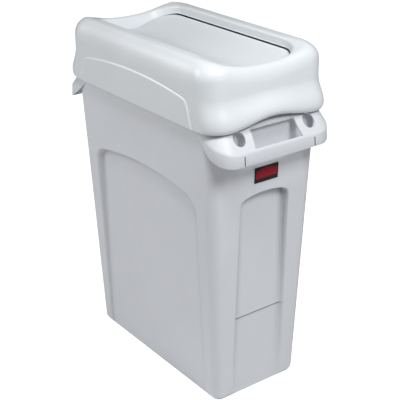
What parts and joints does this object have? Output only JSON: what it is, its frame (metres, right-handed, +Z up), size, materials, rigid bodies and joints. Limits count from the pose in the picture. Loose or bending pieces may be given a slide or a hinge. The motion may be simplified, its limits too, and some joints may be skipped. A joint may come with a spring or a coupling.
{
  "type": "swing lid recycling bin",
  "caption": "Slim tapered waste container with visor handles at both ends and a lift-off hood whose counterweighted door swings on two pins.",
  "frame": {"origin": "centre of the footprint, at the floor", "axes": "+X across the narrow width, +Y from the badge end to the other end, +Z up"},
  "size_m": [0.293, 0.5588, 0.7235],
  "materials": {
    "body_plastic": "light grey moulded polyethylene, very fine satin texture",
    "hood_plastic": "light grey moulded polyethylene, soft satin",
    "door_plastic": "light grey moulded polyethylene, soft satin",
    "steel": "drawn bar, satin",
    "badge": "dark printed plate, gloss"
  },
  "bodies": {
    "bin": {"bin_body": "body_plastic", "front_badge": "badge"},
    "hood": {"lid_hood": "hood_plastic", "front_pivot_pin": "steel", "rear_pivot_pin": "steel"},
    "door": {"swing_door": "door_plastic", "counterweight_bar": "steel"}
  },
  "joints": [
    {"name": "lid_lift", "type": "slide", "parent": "bin", "child": "hood", "axis": [0, 0, 1], "range_m": [0, 0.15]},
    {"name": "door_swing", "type": "hinge", "parent": "hood", "child": "door", "pos_m": [0, 0, 0.667], "axis": [0, 1, 0], "range_deg": [-80, 80]}
  ]
}
